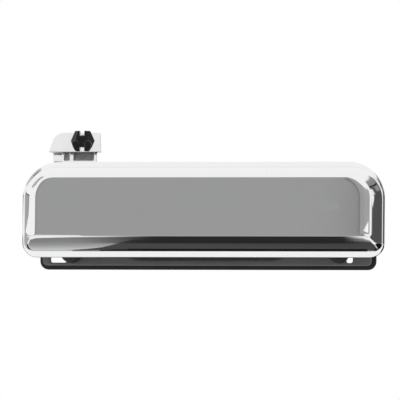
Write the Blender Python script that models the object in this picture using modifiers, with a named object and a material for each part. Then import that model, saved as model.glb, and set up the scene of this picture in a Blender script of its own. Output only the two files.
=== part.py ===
"""Exterior car door handle with a lift-up paddle, for Blender 4.5.

The paddle is hinged along its top edge on a long pin held by the base.  A lever screwed
inside it reaches back through the base and up behind the door skin, where a swivelling
clip takes the latch rod.  A coil spring on the pin closes the paddle against two bumpers.

Axes: +X towards the end away from the lever, -Y out of the door, +Z up.  The origin lies
on the rear face of the gasket, midway between the two mounting studs.  Lengths in metres.
"""

import math

import bmesh
import bpy
from mathutils import Vector

# ---------------------------------------------------------------- driving dimensions

GAP = 0.0003  # clearance kept between pieces that touch

# Gasket and base, flat on the door
GASKET_WIDTH = 0.1594
GASKET_BOTTOM, GASKET_TOP = -0.0399, 0.0070
GASKET_THICK = 0.0020
GASKET_CLEARANCE = 0.0006  # round the finger well
GASKET_HOLE_CLEARANCE = 0.0005  # round the base's other holes
GASKET_STUD_HOLE = 0.0036
BASE_MARGIN = 0.0018  # the gasket shows this far beyond the base
BASE_REAR = -GASKET_THICK - GAP
BASE_THICK = 0.0030
BASE_FRONT = BASE_REAR - BASE_THICK
BASE_EDGE = 0.0007
CORNER_TOP, CORNER_BOTTOM = 0.0120, 0.0040

# Finger well sunk in the base
WELL_WIDTH = 0.0820
WELL_BOTTOM, WELL_TOP = -0.0356, -0.0090
WELL_RADIUS = 0.0100
WELL_WALL = 0.0018
WELL_STEPS = (  # (inset from the mouth, y)
    (-0.0004, BASE_FRONT - 0.0005),
    (0.0015, -0.0035),
    (0.0040, 0.0015),
    (0.0070, 0.0050),
    (0.0100, 0.0060),
)

# Holes in the base: (low x, high x, low z, high z)
LEVER_SLOT = (-0.0685, -0.0565, -0.0172, -0.0024)
WINDOWS = ((-0.0742, -0.0664, -0.0368, -0.0250), (0.0660, 0.0692, -0.0368, -0.0250))
HOLE_Y = (-0.0100, 0.0040)  # how far the cutters for these holes reach

# Rubber bumpers
BUMPER_X = (-0.0634, 0.0632)
BUMPER_Z = -0.0325
BUMPER_RADIUS, BUMPER_STEM = 0.0046, 0.0018

# Paddle
PADDLE_WIDTH = 0.1715
PADDLE_BOTTOM, PADDLE_TOP = -0.0349, 0.0098
PADDLE_RADIUS_TOP, PADDLE_RADIUS_BOTTOM = 0.0175, 0.0072
PADDLE_RADIUS_SMALLEST = 0.0022
PADDLE_WALL = 0.0020
PANEL_FRONT = -0.0285
RIM_REAR = -0.0142
# Outer surface from the rim's rear edge to the panel:
# (inset at the sides, at the top, at the bottom, y)
PADDLE_SECTION = (
    (0.0004, 0.0004, 0.0004, RIM_REAR),
    (0.0000, 0.0000, 0.0000, -0.0147),
    (0.0000, 0.0000, 0.0000, -0.0152),
    (0.0007, 0.0010, 0.0013, -0.0162),
    (0.0016, 0.0023, 0.0030, -0.0171),
    (0.0026, 0.0032, 0.0040, -0.0212),
    (0.0046, 0.0050, 0.0060, -0.0253),
    (0.0057, 0.0058, 0.0068, -0.0267),
    (0.0074, 0.0071, 0.0082, -0.0279),
    (0.0099, 0.0090, 0.0102, PANEL_FRONT),
)
PANEL_BACK = PANEL_FRONT + PADDLE_WALL
ROOT_OVERLAP = 0.0010  # how far ears and boss sink into the wall that carries them

# Pivot, along X near the top of the paddle
PIVOT_Y, PIVOT_Z = -0.0120, 0.0015
PIN_RADIUS = 0.0020
PIN_HALF = 0.0560
PIN_CHAMFER = 0.0004
BASE_EAR_X, BASE_EAR_THICK, BASE_EAR_RADIUS = 0.0500, 0.0040, 0.0036
BASE_EAR_ROOT = (-0.0050, 0.0046)  # low z, high z
PADDLE_EAR_X, PADDLE_EAR_THICK, PADDLE_EAR_RADIUS = 0.0435, 0.0050, 0.0050
PADDLE_EAR_ROOT = (-0.0070, 0.0010)
BUSHING_BORE, BUSHING_RADIUS = 0.00225, 0.0030
BUSHING_FLANGE_RADIUS, BUSHING_FLANGE_THICK = 0.0044, 0.0010
CLIP_X, CLIP_THICK, CLIP_GROOVE = 0.0536, 0.0008, 0.0016
CLIP_OUTER = 0.0034
CLIP_MOUTH = 55  # half of the ring's opening, in degrees

# Return spring, a coil on the pin with one leg on the base and one on the paddle
SPRING_WIRE, SPRING_COIL = 0.00065, 0.0038
SPRING_TURNS, SPRING_PITCH = 6, 0.0018
SPRING_POINTS_PER_TURN = 12
SPRING_BASE_LEG_Z = (-0.0085, -0.0040)
SPRING_PADDLE_LEG_Z = (-0.0085, -0.0120)

# Lever
LEVER_PLATE_FRONT, LEVER_PLATE_REAR = 0.0064, 0.0098
LEVER_NECK_FRONT = 0.0074
LEVER_ARM_X = (-0.0675, -0.0575)
LEVER_ARM_Z = (-0.0080, -0.0030)
LEVER_FOOT_X = (-0.0755, -0.0495)
LEVER_FOOT_Z = (-0.0125, -0.0015)
LEVER_FOOT_FRONT, LEVER_FOOT_REAR = -0.0217, -0.0192
LEVER_EDGE = 0.0006
# Pockets in the neck: (low x, high x, depth), all of one height
LEVER_POCKETS = {"main": (-0.0662, -0.0567, 0.0016), "side": (-0.0707, -0.0680, 0.0012)}
LEVER_POCKET_Z = (0.0118, 0.0153)
LEVER_NECK_CUT_X, LEVER_NECK_CUT_Z = (-0.0730, -0.0540), (-0.0010, 0.0165)
GUSSET_X, GUSSET_Z = (-0.0766, -0.0710), (0.0062, 0.0166)
GUSSET_Y = (0.0080, LEVER_PLATE_REAR - GAP)
LEVER_BOSS_REAR = LEVER_FOOT_FRONT - GAP
SCREW_X = (-0.0715, -0.0535)
SCREW_Z = -0.0070
SCREW_RADIUS, SCREW_HEAD_RADIUS, SCREW_HEAD = 0.0018, 0.0026, 0.0018
SCREW_LENGTH = 0.0055
SCREW_HOLE_DEPTH = 0.0035

# Rod clip in the lever's plate
ROD_CLIP_X, ROD_CLIP_Z = -0.0615, 0.0210
ROD_CLIP_BARREL, ROD_CLIP_BORE = 0.0026, 0.0016
ROD_CLIP_HEAD = 0.0032
ROD_CLIP_COLLAR, ROD_CLIP_COLLAR_THICK = 0.0034, 0.0013

# Mounting hardware
STUD_X = 0.0340
STUD_RADIUS, STUD_HEAD_RADIUS, STUD_HEAD = 0.0029, 0.0050, 0.0015
STUD_END = 0.0160
WASHER_FRONT, WASHER_THICK, WASHER_RADIUS = 0.0023, 0.0012, 0.0065
NUT_HEIGHT, NUT_RADIUS = 0.0050, 0.00577

CUT_DEPTH = 0.0100  # length of the short drills
PIN_CUT = 0.1200  # length of the drill through all the ears

FACE_Y = (math.radians(90), 0, 0)  # turns an outline drawn in local XY to face -Y
FACE_X = (math.radians(90), 0, math.radians(90))  # local X to +Y, local Y to +Z
ALONG_X = (0, math.radians(90), 0)  # local Z to +X
ALONG_Y = (math.radians(-90), 0, 0)  # local Z to +Y
AGAINST_Y = (math.radians(90), 0, 0)  # local Z to -Y

MATERIALS = {
    "chrome": ((0.80, 0.81, 0.82), 0.06, 1.0),
    "lever_chrome": ((0.72, 0.73, 0.74), 0.16, 1.0),
    "black_base": ((0.035, 0.036, 0.038), 0.45, 0.0),
    "rubber": ((0.012, 0.012, 0.012), 0.75, 0.0),
    "clip_plastic": ((0.010, 0.010, 0.011), 0.35, 0.0),
    "nylon": ((0.75, 0.74, 0.68), 0.5, 0.0),
    "zinc_plated_steel": ((0.62, 0.62, 0.60), 0.32, 1.0),
    "spring_steel": ((0.30, 0.30, 0.31), 0.35, 1.0),
}


# ---------------------------------------------------------------- helpers


def clear_scene():
    for obj in list(bpy.data.objects):
        bpy.data.objects.remove(obj, do_unlink=True)


def make_collection(name):
    collection = bpy.data.collections.new(name)
    bpy.context.scene.collection.children.link(collection)
    return collection


clear_scene()
PARTS = make_collection("car_door_handle")
CUTTERS = make_collection("cutters")


def material(slot):
    found = bpy.data.materials.get(slot)
    if found:
        return found
    colour, roughness, metallic = MATERIALS[slot]
    made = bpy.data.materials.new(slot)
    made.use_nodes = True
    shader = made.node_tree.nodes["Principled BSDF"]
    shader.inputs["Base Color"].default_value = (*colour, 1.0)
    shader.inputs["Roughness"].default_value = roughness
    shader.inputs["Metallic"].default_value = metallic
    return made


def add_object(name, mesh, slot=None, location=(0, 0, 0), rotation=(0, 0, 0)):
    """A visible piece when it has a slot, and a cutter when it has none."""
    obj = bpy.data.objects.new(name, mesh)
    obj.location = location
    obj.rotation_euler = rotation
    if slot:
        mesh.materials.append(material(slot))
        PARTS.objects.link(obj)
    else:
        CUTTERS.objects.link(obj)
        obj.hide_render = True
        obj.display_type = "WIRE"
    return obj


def mesh_from(bm, name):
    bmesh.ops.recalc_face_normals(bm, faces=bm.faces)
    mesh = bpy.data.meshes.new(name)
    bm.to_mesh(mesh)
    bm.free()
    return mesh


def curve_to_mesh(curve_obj, name):
    """The evaluated curve as a mesh with its caps welded on; the curve is removed."""
    bpy.context.view_layer.update()
    evaluated = curve_obj.evaluated_get(bpy.context.evaluated_depsgraph_get())
    mesh = bpy.data.meshes.new_from_object(evaluated)
    mesh.name = name
    bpy.data.objects.remove(curve_obj, do_unlink=True)
    bm = bmesh.new()
    bm.from_mesh(mesh)
    bmesh.ops.remove_doubles(bm, verts=bm.verts, dist=1e-6)
    bmesh.ops.recalc_face_normals(bm, faces=bm.faces)
    bm.to_mesh(mesh)
    bm.free()
    mesh.materials.clear()
    return mesh


def box(name, low, high):
    low, high = Vector(low), Vector(high)
    bm = bmesh.new()
    bmesh.ops.create_cube(bm, size=1.0)
    for vert in bm.verts:
        vert.co = Vector(a * b for a, b in zip(vert.co, high - low))
    return add_object(name, mesh_from(bm, name), location=(low + high) / 2)


def rod(name, radius, length, location, rotation, slot=None, sides=24):
    """A cylinder whose axis is local Z before the rotation."""
    bm = bmesh.new()
    bmesh.ops.create_cone(
        bm, cap_ends=True, segments=sides, radius1=radius, radius2=radius, depth=length
    )
    return add_object(name, mesh_from(bm, name), slot, location, rotation)


def plate(name, outline, thickness, location, rotation, slot=None):
    """A flat outline as a filled 2D curve, extruded by half its thickness each way."""
    curve = bpy.data.curves.new(name, "CURVE")
    curve.dimensions = "2D"
    curve.fill_mode = "BOTH"
    curve.extrude = thickness / 2
    spline = curve.splines.new("POLY")
    spline.points.add(len(outline) - 1)
    for point, (x, y) in zip(spline.points, outline):
        point.co = (x, y, 0, 1)
    spline.use_cyclic_u = True
    temporary = bpy.data.objects.new(name + "_curve", curve)
    CUTTERS.objects.link(temporary)
    return add_object(name, curve_to_mesh(temporary, name), slot, location, rotation)


def turned(name, profile, location, rotation, slot, steps=32, ring=False):
    """A profile of (radius, height), top to bottom, turned about local Z; a ring's is a loop."""
    bm = bmesh.new()
    verts = [bm.verts.new((radius, 0, height)) for radius, height in profile]
    for one, other in zip(verts, verts[1:] + verts[:1] if ring else verts[1:]):
        bm.edges.new((one, other))
    mesh = bpy.data.meshes.new(name)
    bm.to_mesh(mesh)
    bm.free()
    obj = add_object(name, mesh, slot, location, rotation)
    screw = obj.modifiers.new("turn", "SCREW")
    screw.steps = steps
    screw.render_steps = steps
    screw.use_merge_vertices = True
    screw.merge_threshold = 1e-6
    screw.use_smooth_shade = True
    return obj


def boolean(obj, operation, *others):
    for other in others:
        modifier = obj.modifiers.new(other.name, "BOOLEAN")
        modifier.operation = operation
        modifier.object = other


def bevel(obj, width, segments=2, angle=30):
    modifier = obj.modifiers.new("round", "BEVEL")
    modifier.width = width
    modifier.segments = segments
    modifier.limit_method = "ANGLE"
    modifier.angle_limit = math.radians(angle)


def smooth(obj, angle=30):
    obj.data.shade_smooth()
    obj.data.set_sharp_from_angle(angle=math.radians(angle))


def attach(parent, *children):
    for child in children:
        child.parent = parent
        child.location -= parent.location


def empty_at(name, location):
    empty = bpy.data.objects.new(name, None)
    empty.location = location
    empty.empty_display_size = 0.01
    PARTS.objects.link(empty)
    bpy.context.view_layer.update()
    return empty


def arc(centre, radius, start, end, steps):
    """Points on an arc, angles in degrees."""
    turns = (math.radians(start + (end - start) * i / steps) for i in range(steps + 1))
    return [(centre[0] + radius * math.cos(t), centre[1] + radius * math.sin(t)) for t in turns]


def rounded_outline(x0, x1, z0, z1, radius_top, radius_bottom, steps_top=8, steps_bottom=5):
    """A rectangle with rounded corners, anticlockwise from the right of its lower edge."""
    t, b = radius_top, radius_bottom
    return (
        arc((x1 - b, z0 + b), b, -90, 0, steps_bottom)
        + arc((x1 - t, z1 - t), t, 0, 90, steps_top)
        + arc((x0 + t, z1 - t), t, 90, 180, steps_top)
        + arc((x0 + b, z0 + b), b, 180, 270, steps_bottom)
    )


def loft(name, rings, caps, slot=None):
    """Quads between rings of equal count; caps says which ends are closed."""
    bm = bmesh.new()
    rows = [[bm.verts.new(point) for point in ring] for ring in rings]
    for row, following in zip(rows, rows[1:]):
        for i in range(len(row)):
            j = (i + 1) % len(row)
            bm.faces.new((row[i], row[j], following[j], following[i]))
    if caps[0]:
        bm.faces.new(rows[0])
    if caps[1]:
        bm.faces.new(rows[-1])
    return add_object(name, mesh_from(bm, name), slot)


def ear_outline(radius, root_y, root_z):
    """A round head at the pivot joined by straight sides to a flat root, as (y, z)."""
    low, high = root_z
    pivot = (PIVOT_Y, PIVOT_Z)
    if root_y > PIVOT_Y:
        return arc(pivot, radius, 90, 270, 10) + [(root_y, low), (root_y, high)]
    return arc(pivot, radius, -90, 90, 10) + [(root_y, high), (root_y, low)]


# ---------------------------------------------------------------- base and gasket


def well_rings(grow, deepen):
    """The finger well's rings, grown sideways and deepened to make its outer side."""
    rings = []
    for inset, y in WELL_STEPS:
        i = inset - grow
        outline = rounded_outline(
            -WELL_WIDTH / 2 + i, WELL_WIDTH / 2 - i, WELL_BOTTOM + i, WELL_TOP - i,
            WELL_RADIUS - i / 2, WELL_RADIUS - i / 2, 6, 6,
        )
        rings.append([(x, y + deepen, z) for x, z in outline])
    return rings


def through_hole(name, x0, x1, z0, z1, grow=0.0):
    return box(name, (x0 - grow, HOLE_Y[0], z0 - grow), (x1 + grow, HOLE_Y[1], z1 + grow))


def base_outline(margin):
    half = GASKET_WIDTH / 2 - margin
    return rounded_outline(
        -half, half, GASKET_BOTTOM + margin, GASKET_TOP - margin,
        CORNER_TOP - margin, CORNER_BOTTOM - margin,
    )


def make_base():
    middle = (0, (BASE_REAR + BASE_FRONT) / 2, 0)
    outline = base_outline(BASE_MARGIN)
    base = plate("base_housing", outline, BASE_THICK, middle, FACE_Y, "black_base")
    bevel(base, BASE_EDGE)
    well_outer = loft("well_outer", well_rings(WELL_WALL, WELL_WALL), (True, True))
    cuts = [loft("well_inner", well_rings(0, 0), (True, True))]
    cuts.append(through_hole("lever_slot_cut", *LEVER_SLOT))
    for number, window in enumerate(WINDOWS):
        cuts.append(through_hole(f"window_cut_{number}", *window))
    for number, x in enumerate(BUMPER_X):
        place = (x, BASE_REAR, BUMPER_Z)
        hole = BUMPER_STEM + GAP
        cuts.append(rod(f"bumper_hole_{number}", hole, CUT_DEPTH, place, ALONG_Y, sides=16))
    joins = [well_outer]
    ear = ear_outline(BASE_EAR_RADIUS, BASE_REAR - ROOT_OVERLAP, BASE_EAR_ROOT)
    for side in (-1, 1):
        place = (side * BASE_EAR_X, 0, 0)
        joins.append(plate(f"base_ear_{side}", ear, BASE_EAR_THICK, place, FACE_X))
        place = (side * STUD_X, BASE_REAR, 0)
        cuts.append(rod(f"stud_hole_{side}", STUD_RADIUS + GAP, CUT_DEPTH, place, ALONG_Y))
    cuts.append(rod("pin_hole", PIN_RADIUS + GAP, PIN_CUT, (0, PIVOT_Y, PIVOT_Z), ALONG_X))
    boolean(base, "UNION", *joins)
    boolean(base, "DIFFERENCE", *cuts)
    return base


def make_gasket():
    middle = (0, -GASKET_THICK / 2, 0)
    gasket = plate("gasket", base_outline(0), GASKET_THICK, middle, FACE_Y, "rubber")
    opening = rounded_outline(
        -WELL_WIDTH / 2 - GASKET_CLEARANCE, WELL_WIDTH / 2 + GASKET_CLEARANCE,
        WELL_BOTTOM - GASKET_CLEARANCE, WELL_TOP + GASKET_CLEARANCE,
        WELL_RADIUS, WELL_RADIUS, 6, 6,
    )
    cuts = [plate("gasket_well_cut", opening, CUT_DEPTH, (0, 0, 0), FACE_Y)]
    cuts.append(through_hole("gasket_lever_cut", *LEVER_SLOT, GASKET_HOLE_CLEARANCE))
    for number, window in enumerate(WINDOWS):
        name = f"gasket_window_cut_{number}"
        cuts.append(through_hole(name, *window, GASKET_HOLE_CLEARANCE))
    for side in (-1, 1):
        place = (side * STUD_X, 0, 0)
        cuts.append(rod(f"gasket_stud_hole_{side}", GASKET_STUD_HOLE, CUT_DEPTH, place, ALONG_Y))
    boolean(gasket, "DIFFERENCE", *cuts)
    return gasket


def make_bumpers():
    """Rubber bumpers pushed into the base, for the paddle's lower rim to rest on."""
    foot, top = BASE_FRONT - GAP, RIM_REAR + GAP
    stem_end = BASE_REAR - GAP
    r, stem = BUMPER_RADIUS, BUMPER_STEM
    profile = (
        (0, -top), (r - 0.0012, -top), (r - 0.0004, -top - 0.0004), (r, -top - 0.0012),
        (r, -foot), (stem, -foot), (stem, -stem_end), (0, -stem_end),
    )
    for side, x in zip(("left", "right"), BUMPER_X):
        turned(f"bump_stop_{side}", profile, (x, 0, BUMPER_Z), AGAINST_Y, "rubber", 24)


# ---------------------------------------------------------------- paddle and pivot


def paddle_rings():
    rings = []
    for side, top, bottom, y in PADDLE_SECTION:
        outline = rounded_outline(
            -PADDLE_WIDTH / 2 + side, PADDLE_WIDTH / 2 - side,
            PADDLE_BOTTOM + bottom, PADDLE_TOP - top,
            PADDLE_RADIUS_TOP - top, max(PADDLE_RADIUS_BOTTOM - bottom, PADDLE_RADIUS_SMALLEST),
            10, 6,
        )
        rings.append([(x, y, z) for x, z in outline])
    return rings


def make_paddle():
    paddle = loft("handle_paddle", paddle_rings(), (False, True), "chrome")
    shell = paddle.modifiers.new("wall", "SOLIDIFY")
    shell.thickness = PADDLE_WALL
    shell.offset = -1
    root = PANEL_BACK - ROOT_OVERLAP
    ear = ear_outline(PADDLE_EAR_RADIUS, root, PADDLE_EAR_ROOT)
    joins = []
    for side in (-1, 1):
        place = (side * PADDLE_EAR_X, 0, 0)
        joins.append(plate(f"paddle_ear_{side}", ear, PADDLE_EAR_THICK, place, FACE_X))
    boss_low = (LEVER_FOOT_X[0], root, LEVER_FOOT_Z[0])
    boss_high = (LEVER_FOOT_X[1], LEVER_BOSS_REAR, LEVER_FOOT_Z[1])
    joins.append(box("lever_boss", boss_low, boss_high))
    pivot = (0, PIVOT_Y, PIVOT_Z)
    cuts = [rod("bushing_hole", BUSHING_RADIUS + GAP, PIN_CUT, pivot, ALONG_X)]
    hole_middle = LEVER_BOSS_REAR + ROOT_OVERLAP / 4 - SCREW_HOLE_DEPTH / 2
    for number, x in enumerate(SCREW_X):
        place = (x, hole_middle, SCREW_Z)
        hole = SCREW_RADIUS + GAP
        cuts.append(rod(f"screw_hole_{number}", hole, SCREW_HOLE_DEPTH, place, ALONG_Y, sides=16))
    boolean(paddle, "UNION", *joins)
    boolean(paddle, "DIFFERENCE", *cuts)
    smooth(paddle)
    return paddle


def make_pin():
    """The pin with a groove near each end for its retaining clip."""
    r, groove, half = PIN_RADIUS, CLIP_GROOVE, CLIP_THICK / 2 + GAP
    end = [
        (0, PIN_HALF), (r - PIN_CHAMFER, PIN_HALF), (r, PIN_HALF - PIN_CHAMFER),
        (r, CLIP_X + half), (groove, CLIP_X + half), (groove, CLIP_X - half), (r, CLIP_X - half),
    ]
    profile = end + [(radius, -height) for radius, height in reversed(end)]
    turned("pivot_pin", profile, (0, PIVOT_Y, PIVOT_Z), ALONG_X, "zinc_plated_steel", 24)


def make_retaining_clips():
    """Open rings snapped into the pin's grooves."""
    first, last = -90 + CLIP_MOUTH, 270 - CLIP_MOUTH
    outline = arc((0, 0), CLIP_OUTER, first, last, 20)
    outline += arc((0, 0), CLIP_GROOVE + GAP, last, first, 16)
    for side, sign in (("left", -1), ("right", 1)):
        place = (sign * CLIP_X, PIVOT_Y, PIVOT_Z)
        plate(f"retaining_clip_{side}", outline, CLIP_THICK, place, FACE_X, "spring_steel")


def make_bushings():
    """Flanged bushings in the paddle's ears, with the flange towards the base's ear."""
    inner, outer, flange = BUSHING_BORE, BUSHING_RADIUS, BUSHING_FLANGE_RADIUS
    length = PADDLE_EAR_THICK
    face = PADDLE_EAR_THICK / 2 + GAP
    profile = (
        (inner, face + BUSHING_FLANGE_THICK), (flange, face + BUSHING_FLANGE_THICK),
        (flange, face), (outer, face), (outer, face - length), (inner, face - length),
    )
    made = []
    for side, sign in (("left", -1), ("right", 1)):
        turn = (0, math.radians(90 * sign), 0)
        place = (sign * PADDLE_EAR_X, PIVOT_Y, PIVOT_Z)
        made.append(turned(f"pivot_bushing_{side}", profile, place, turn, "nylon", 24, True))
    return made


def spring_route():
    """Leg on the base, coil round the pin, leg on the paddle's back."""
    turns = SPRING_TURNS
    count = turns * SPRING_POINTS_PER_TURN
    start_x = -turns * SPRING_PITCH / 2
    base_leg_y = BASE_FRONT - SPRING_WIRE - GAP
    paddle_leg_y = PANEL_BACK + SPRING_WIRE + GAP
    coil = []
    for i in range(count + 1):
        turn = 2 * math.pi * i / SPRING_POINTS_PER_TURN
        y = PIVOT_Y + SPRING_COIL * math.cos(turn)
        z = PIVOT_Z - SPRING_COIL * math.sin(turn)
        coil.append((start_x + SPRING_PITCH * i / SPRING_POINTS_PER_TURN, y, z))
    first, last = coil[0], coil[-1]
    base_leg = [(first[0], base_leg_y, z) for z in SPRING_BASE_LEG_Z]
    paddle_leg = [
        (last[0], last[1] - 0.0012, last[2] - 0.0033),
        (last[0], PIVOT_Y - 0.0030, PIVOT_Z - 0.0070),
        (last[0], paddle_leg_y + 0.0010, SPRING_PADDLE_LEG_Z[0]),
        (last[0], paddle_leg_y, SPRING_PADDLE_LEG_Z[1]),
    ]
    return base_leg + coil + paddle_leg


def make_spring():
    route = spring_route()
    curve = bpy.data.curves.new("return_spring", "CURVE")
    curve.dimensions = "3D"
    curve.bevel_depth = SPRING_WIRE
    curve.bevel_resolution = 2
    curve.use_fill_caps = True
    spline = curve.splines.new("POLY")
    spline.points.add(len(route) - 1)
    for point, place in zip(spline.points, route):
        point.co = (*place, 1)
    temporary = bpy.data.objects.new("return_spring_curve", curve)
    CUTTERS.objects.link(temporary)
    spring = add_object("return_spring", curve_to_mesh(temporary, "return_spring"), "spring_steel")
    smooth(spring, 60)


# ---------------------------------------------------------------- lever and rod clip


def lever_outline():
    """The lever's upright part seen from the front, as (x, z)."""
    neck_left, neck_right = -0.0715, -0.0552
    plate_left, plate_right = -0.0778, -0.0531
    plate_low, plate_high = 0.0160, 0.0253
    root_left, root_right = LEVER_ARM_X[0] + 0.0004, LEVER_ARM_X[1] - 0.0004
    root_low = LEVER_ARM_Z[0] + 0.0004
    return (
        [(root_left, root_low), (root_right, root_low), (root_right, 0.0010)]
        + [(neck_right, 0.0050), (neck_right, plate_low), (plate_right, plate_low)]
        + arc((plate_right - 0.0018, plate_high - 0.0010), 0.0010, 0, 90, 3)
        + arc((plate_left + 0.0066, plate_high - 0.0052), 0.0052, 90, 165, 6)
        + [(plate_left, plate_low - 0.0002), (neck_left, plate_low - 0.0002)]
        + [(neck_left, 0.0052), (root_left, 0.0012)]
    )


def make_lever():
    upright_rear = LEVER_PLATE_REAR
    thick = upright_rear - LEVER_PLATE_FRONT
    middle_y = (upright_rear + LEVER_PLATE_FRONT) / 2
    outline = lever_outline()
    lever = plate("actuating_lever", outline, thick, (0, middle_y, 0), FACE_Y, "lever_chrome")
    recess = LEVER_NECK_FRONT
    (x0, x1), (z0, z1) = LEVER_NECK_CUT_X, LEVER_NECK_CUT_Z
    cuts = [box("neck_step_cut", (x0, 0, z0), (x1, recess, z1))]
    z0, z1 = LEVER_POCKET_Z
    for name, (x0, x1, depth) in LEVER_POCKETS.items():
        cuts.append(box(f"pocket_{name}_cut", (x0, 0, z0), (x1, recess + depth, z1)))
    place = (ROD_CLIP_X, middle_y, ROD_CLIP_Z)
    cuts.append(rod("rod_clip_hole", ROD_CLIP_BARREL + GAP, 2 * CUT_DEPTH, place, ALONG_Y))
    gusset = box("lever_gusset", *zip(GUSSET_X, GUSSET_Y, GUSSET_Z))
    arm_y = (LEVER_FOOT_REAR - ROOT_OVERLAP, LEVER_PLATE_REAR - ROOT_OVERLAP / 2)
    arm = box("lever_arm", *zip(LEVER_ARM_X, arm_y, LEVER_ARM_Z))
    foot_y = (LEVER_FOOT_FRONT, LEVER_FOOT_REAR)
    foot = box("lever_foot", *zip(LEVER_FOOT_X, foot_y, LEVER_FOOT_Z))
    bevel(foot, LEVER_EDGE, 1)
    bevel(arm, LEVER_EDGE, 1)
    boolean(lever, "DIFFERENCE", *cuts)
    boolean(lever, "UNION", gusset, arm, foot)
    for number, x in enumerate(SCREW_X):
        place = (x, LEVER_FOOT_REAR, SCREW_Z)
        hole = rod(f"foot_hole_{number}", SCREW_RADIUS + GAP, CUT_DEPTH, place, ALONG_Y, sides=16)
        boolean(lever, "DIFFERENCE", hole)
    return lever


def make_lever_screws():
    """Pan-head screws that hold the lever's foot to the paddle's boss."""
    seat = -(LEVER_FOOT_REAR + GAP)
    r, head = SCREW_RADIUS, SCREW_HEAD_RADIUS
    tip = seat + SCREW_LENGTH
    profile = (
        (0, tip), (r - 0.0005, tip), (r, tip - 0.0006), (r, seat), (head, seat),
        (head, seat - 0.0010), (head - 0.0009, seat - SCREW_HEAD), (0, seat - SCREW_HEAD),
    )
    made = []
    for number, x in enumerate(SCREW_X, 1):
        place = (x, 0, SCREW_Z)
        made.append(
            turned(f"lever_screw_{number}", profile, place, AGAINST_Y, "zinc_plated_steel", 16)
        )
    return made


def rod_clip_outline():
    """A flattened hexagon with a notch above and below, as (x, z) from the clip's axis."""
    half_width, half_height = 0.0057, 0.0048
    notch, notch_top, notch_bottom = 0.0012, 0.0023, -0.0029
    right = [
        (notch, notch_bottom), (notch, -half_height), (0.0031, -half_height), (0.0044, -0.0028),
        (half_width, 0.0002), (0.0036, half_height), (notch, half_height), (notch, notch_top),
    ]
    return right + [(-x, z) for x, z in reversed(right)]


def make_rod_clip():
    """A notched head in front, a barrel through the lever and a snap collar behind."""
    front = LEVER_PLATE_FRONT - GAP
    back = LEVER_PLATE_REAR + GAP
    x, z = ROD_CLIP_X, ROD_CLIP_Z
    head_middle = (x, front - ROD_CLIP_HEAD / 2, z)
    outline = rod_clip_outline()
    clip = plate("rod_clip", outline, ROD_CLIP_HEAD, head_middle, FACE_Y, "clip_plastic")
    length = back - front + 2 * ROOT_OVERLAP
    middle = (x, (back + front) / 2, z)
    barrel = rod("clip_barrel", ROD_CLIP_BARREL, length, middle, ALONG_Y)
    middle = (x, back + ROD_CLIP_COLLAR_THICK / 2, z)
    collar = rod("clip_collar", ROD_CLIP_COLLAR, ROD_CLIP_COLLAR_THICK, middle, ALONG_Y)
    bore = rod("rod_bore", ROD_CLIP_BORE, 0.8 * CUT_DEPTH, (x, back, z), ALONG_Y, sides=16)
    boolean(clip, "UNION", barrel, collar)
    boolean(clip, "DIFFERENCE", bore)
    return clip


# ---------------------------------------------------------------- mounting hardware


def make_studs():
    """Flat-headed studs through base and gasket."""
    seat = BASE_FRONT - GAP
    head_front = seat - STUD_HEAD
    r, head = STUD_RADIUS, STUD_HEAD_RADIUS
    profile = (
        (0, STUD_END), (r - 0.0008, STUD_END), (r, STUD_END - 0.0008), (r, seat), (head, seat),
        (head, head_front + 0.0005), (head - 0.0005, head_front), (0, head_front),
    )
    for side, sign in (("left", -1), ("right", 1)):
        place = (sign * STUD_X, 0, 0)
        turned(f"mounting_stud_{side}", profile, place, ALONG_Y, "zinc_plated_steel", 24)


def make_washers_and_nuts():
    inner = STUD_RADIUS + GAP
    nut_front = WASHER_FRONT + WASHER_THICK + GAP
    for side, sign in (("left", -1), ("right", 1)):
        x = sign * STUD_X
        top, low = WASHER_FRONT + WASHER_THICK, WASHER_FRONT
        section = ((inner, top), (WASHER_RADIUS, top), (WASHER_RADIUS, low), (inner, low))
        name = f"mounting_washer_{side}"
        turned(name, section, (x, 0, 0), ALONG_Y, "zinc_plated_steel", 32, True)
        place = (x, nut_front + NUT_HEIGHT / 2, 0)
        name = f"mounting_nut_{side}"
        nut = rod(name, NUT_RADIUS, NUT_HEIGHT, place, ALONG_Y, "zinc_plated_steel", sides=6)
        bore = rod(f"nut_bore_{side}", inner, 2 * CUT_DEPTH, place, ALONG_Y)
        bevel(nut, 0.0004, 1, 50)
        boolean(nut, "DIFFERENCE", bore)


def build():
    make_base()
    make_gasket()
    make_bumpers()
    make_pin()
    make_retaining_clips()
    make_spring()
    make_studs()
    make_washers_and_nuts()
    paddle_pivot = empty_at("paddle_pivot", (0, PIVOT_Y, PIVOT_Z))
    moving = [make_paddle(), make_lever()]
    moving += make_bushings() + make_lever_screws()
    clip_pivot = empty_at("rod_clip_pivot", (ROD_CLIP_X, LEVER_PLATE_FRONT, ROD_CLIP_Z))
    attach(clip_pivot, make_rod_clip())
    attach(paddle_pivot, clip_pivot, *moving)


build()
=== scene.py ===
"""The looks of the lift-up car door handle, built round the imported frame.

Every CAD solid is replaced by a finer piece of the same size and place.  Lengths are in
millimetres until mesh_object() scales them; the frame's own lengths are in metres.
"""

import math

import bmesh
import bpy
from mathutils import Matrix, Quaternion, Vector


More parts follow.
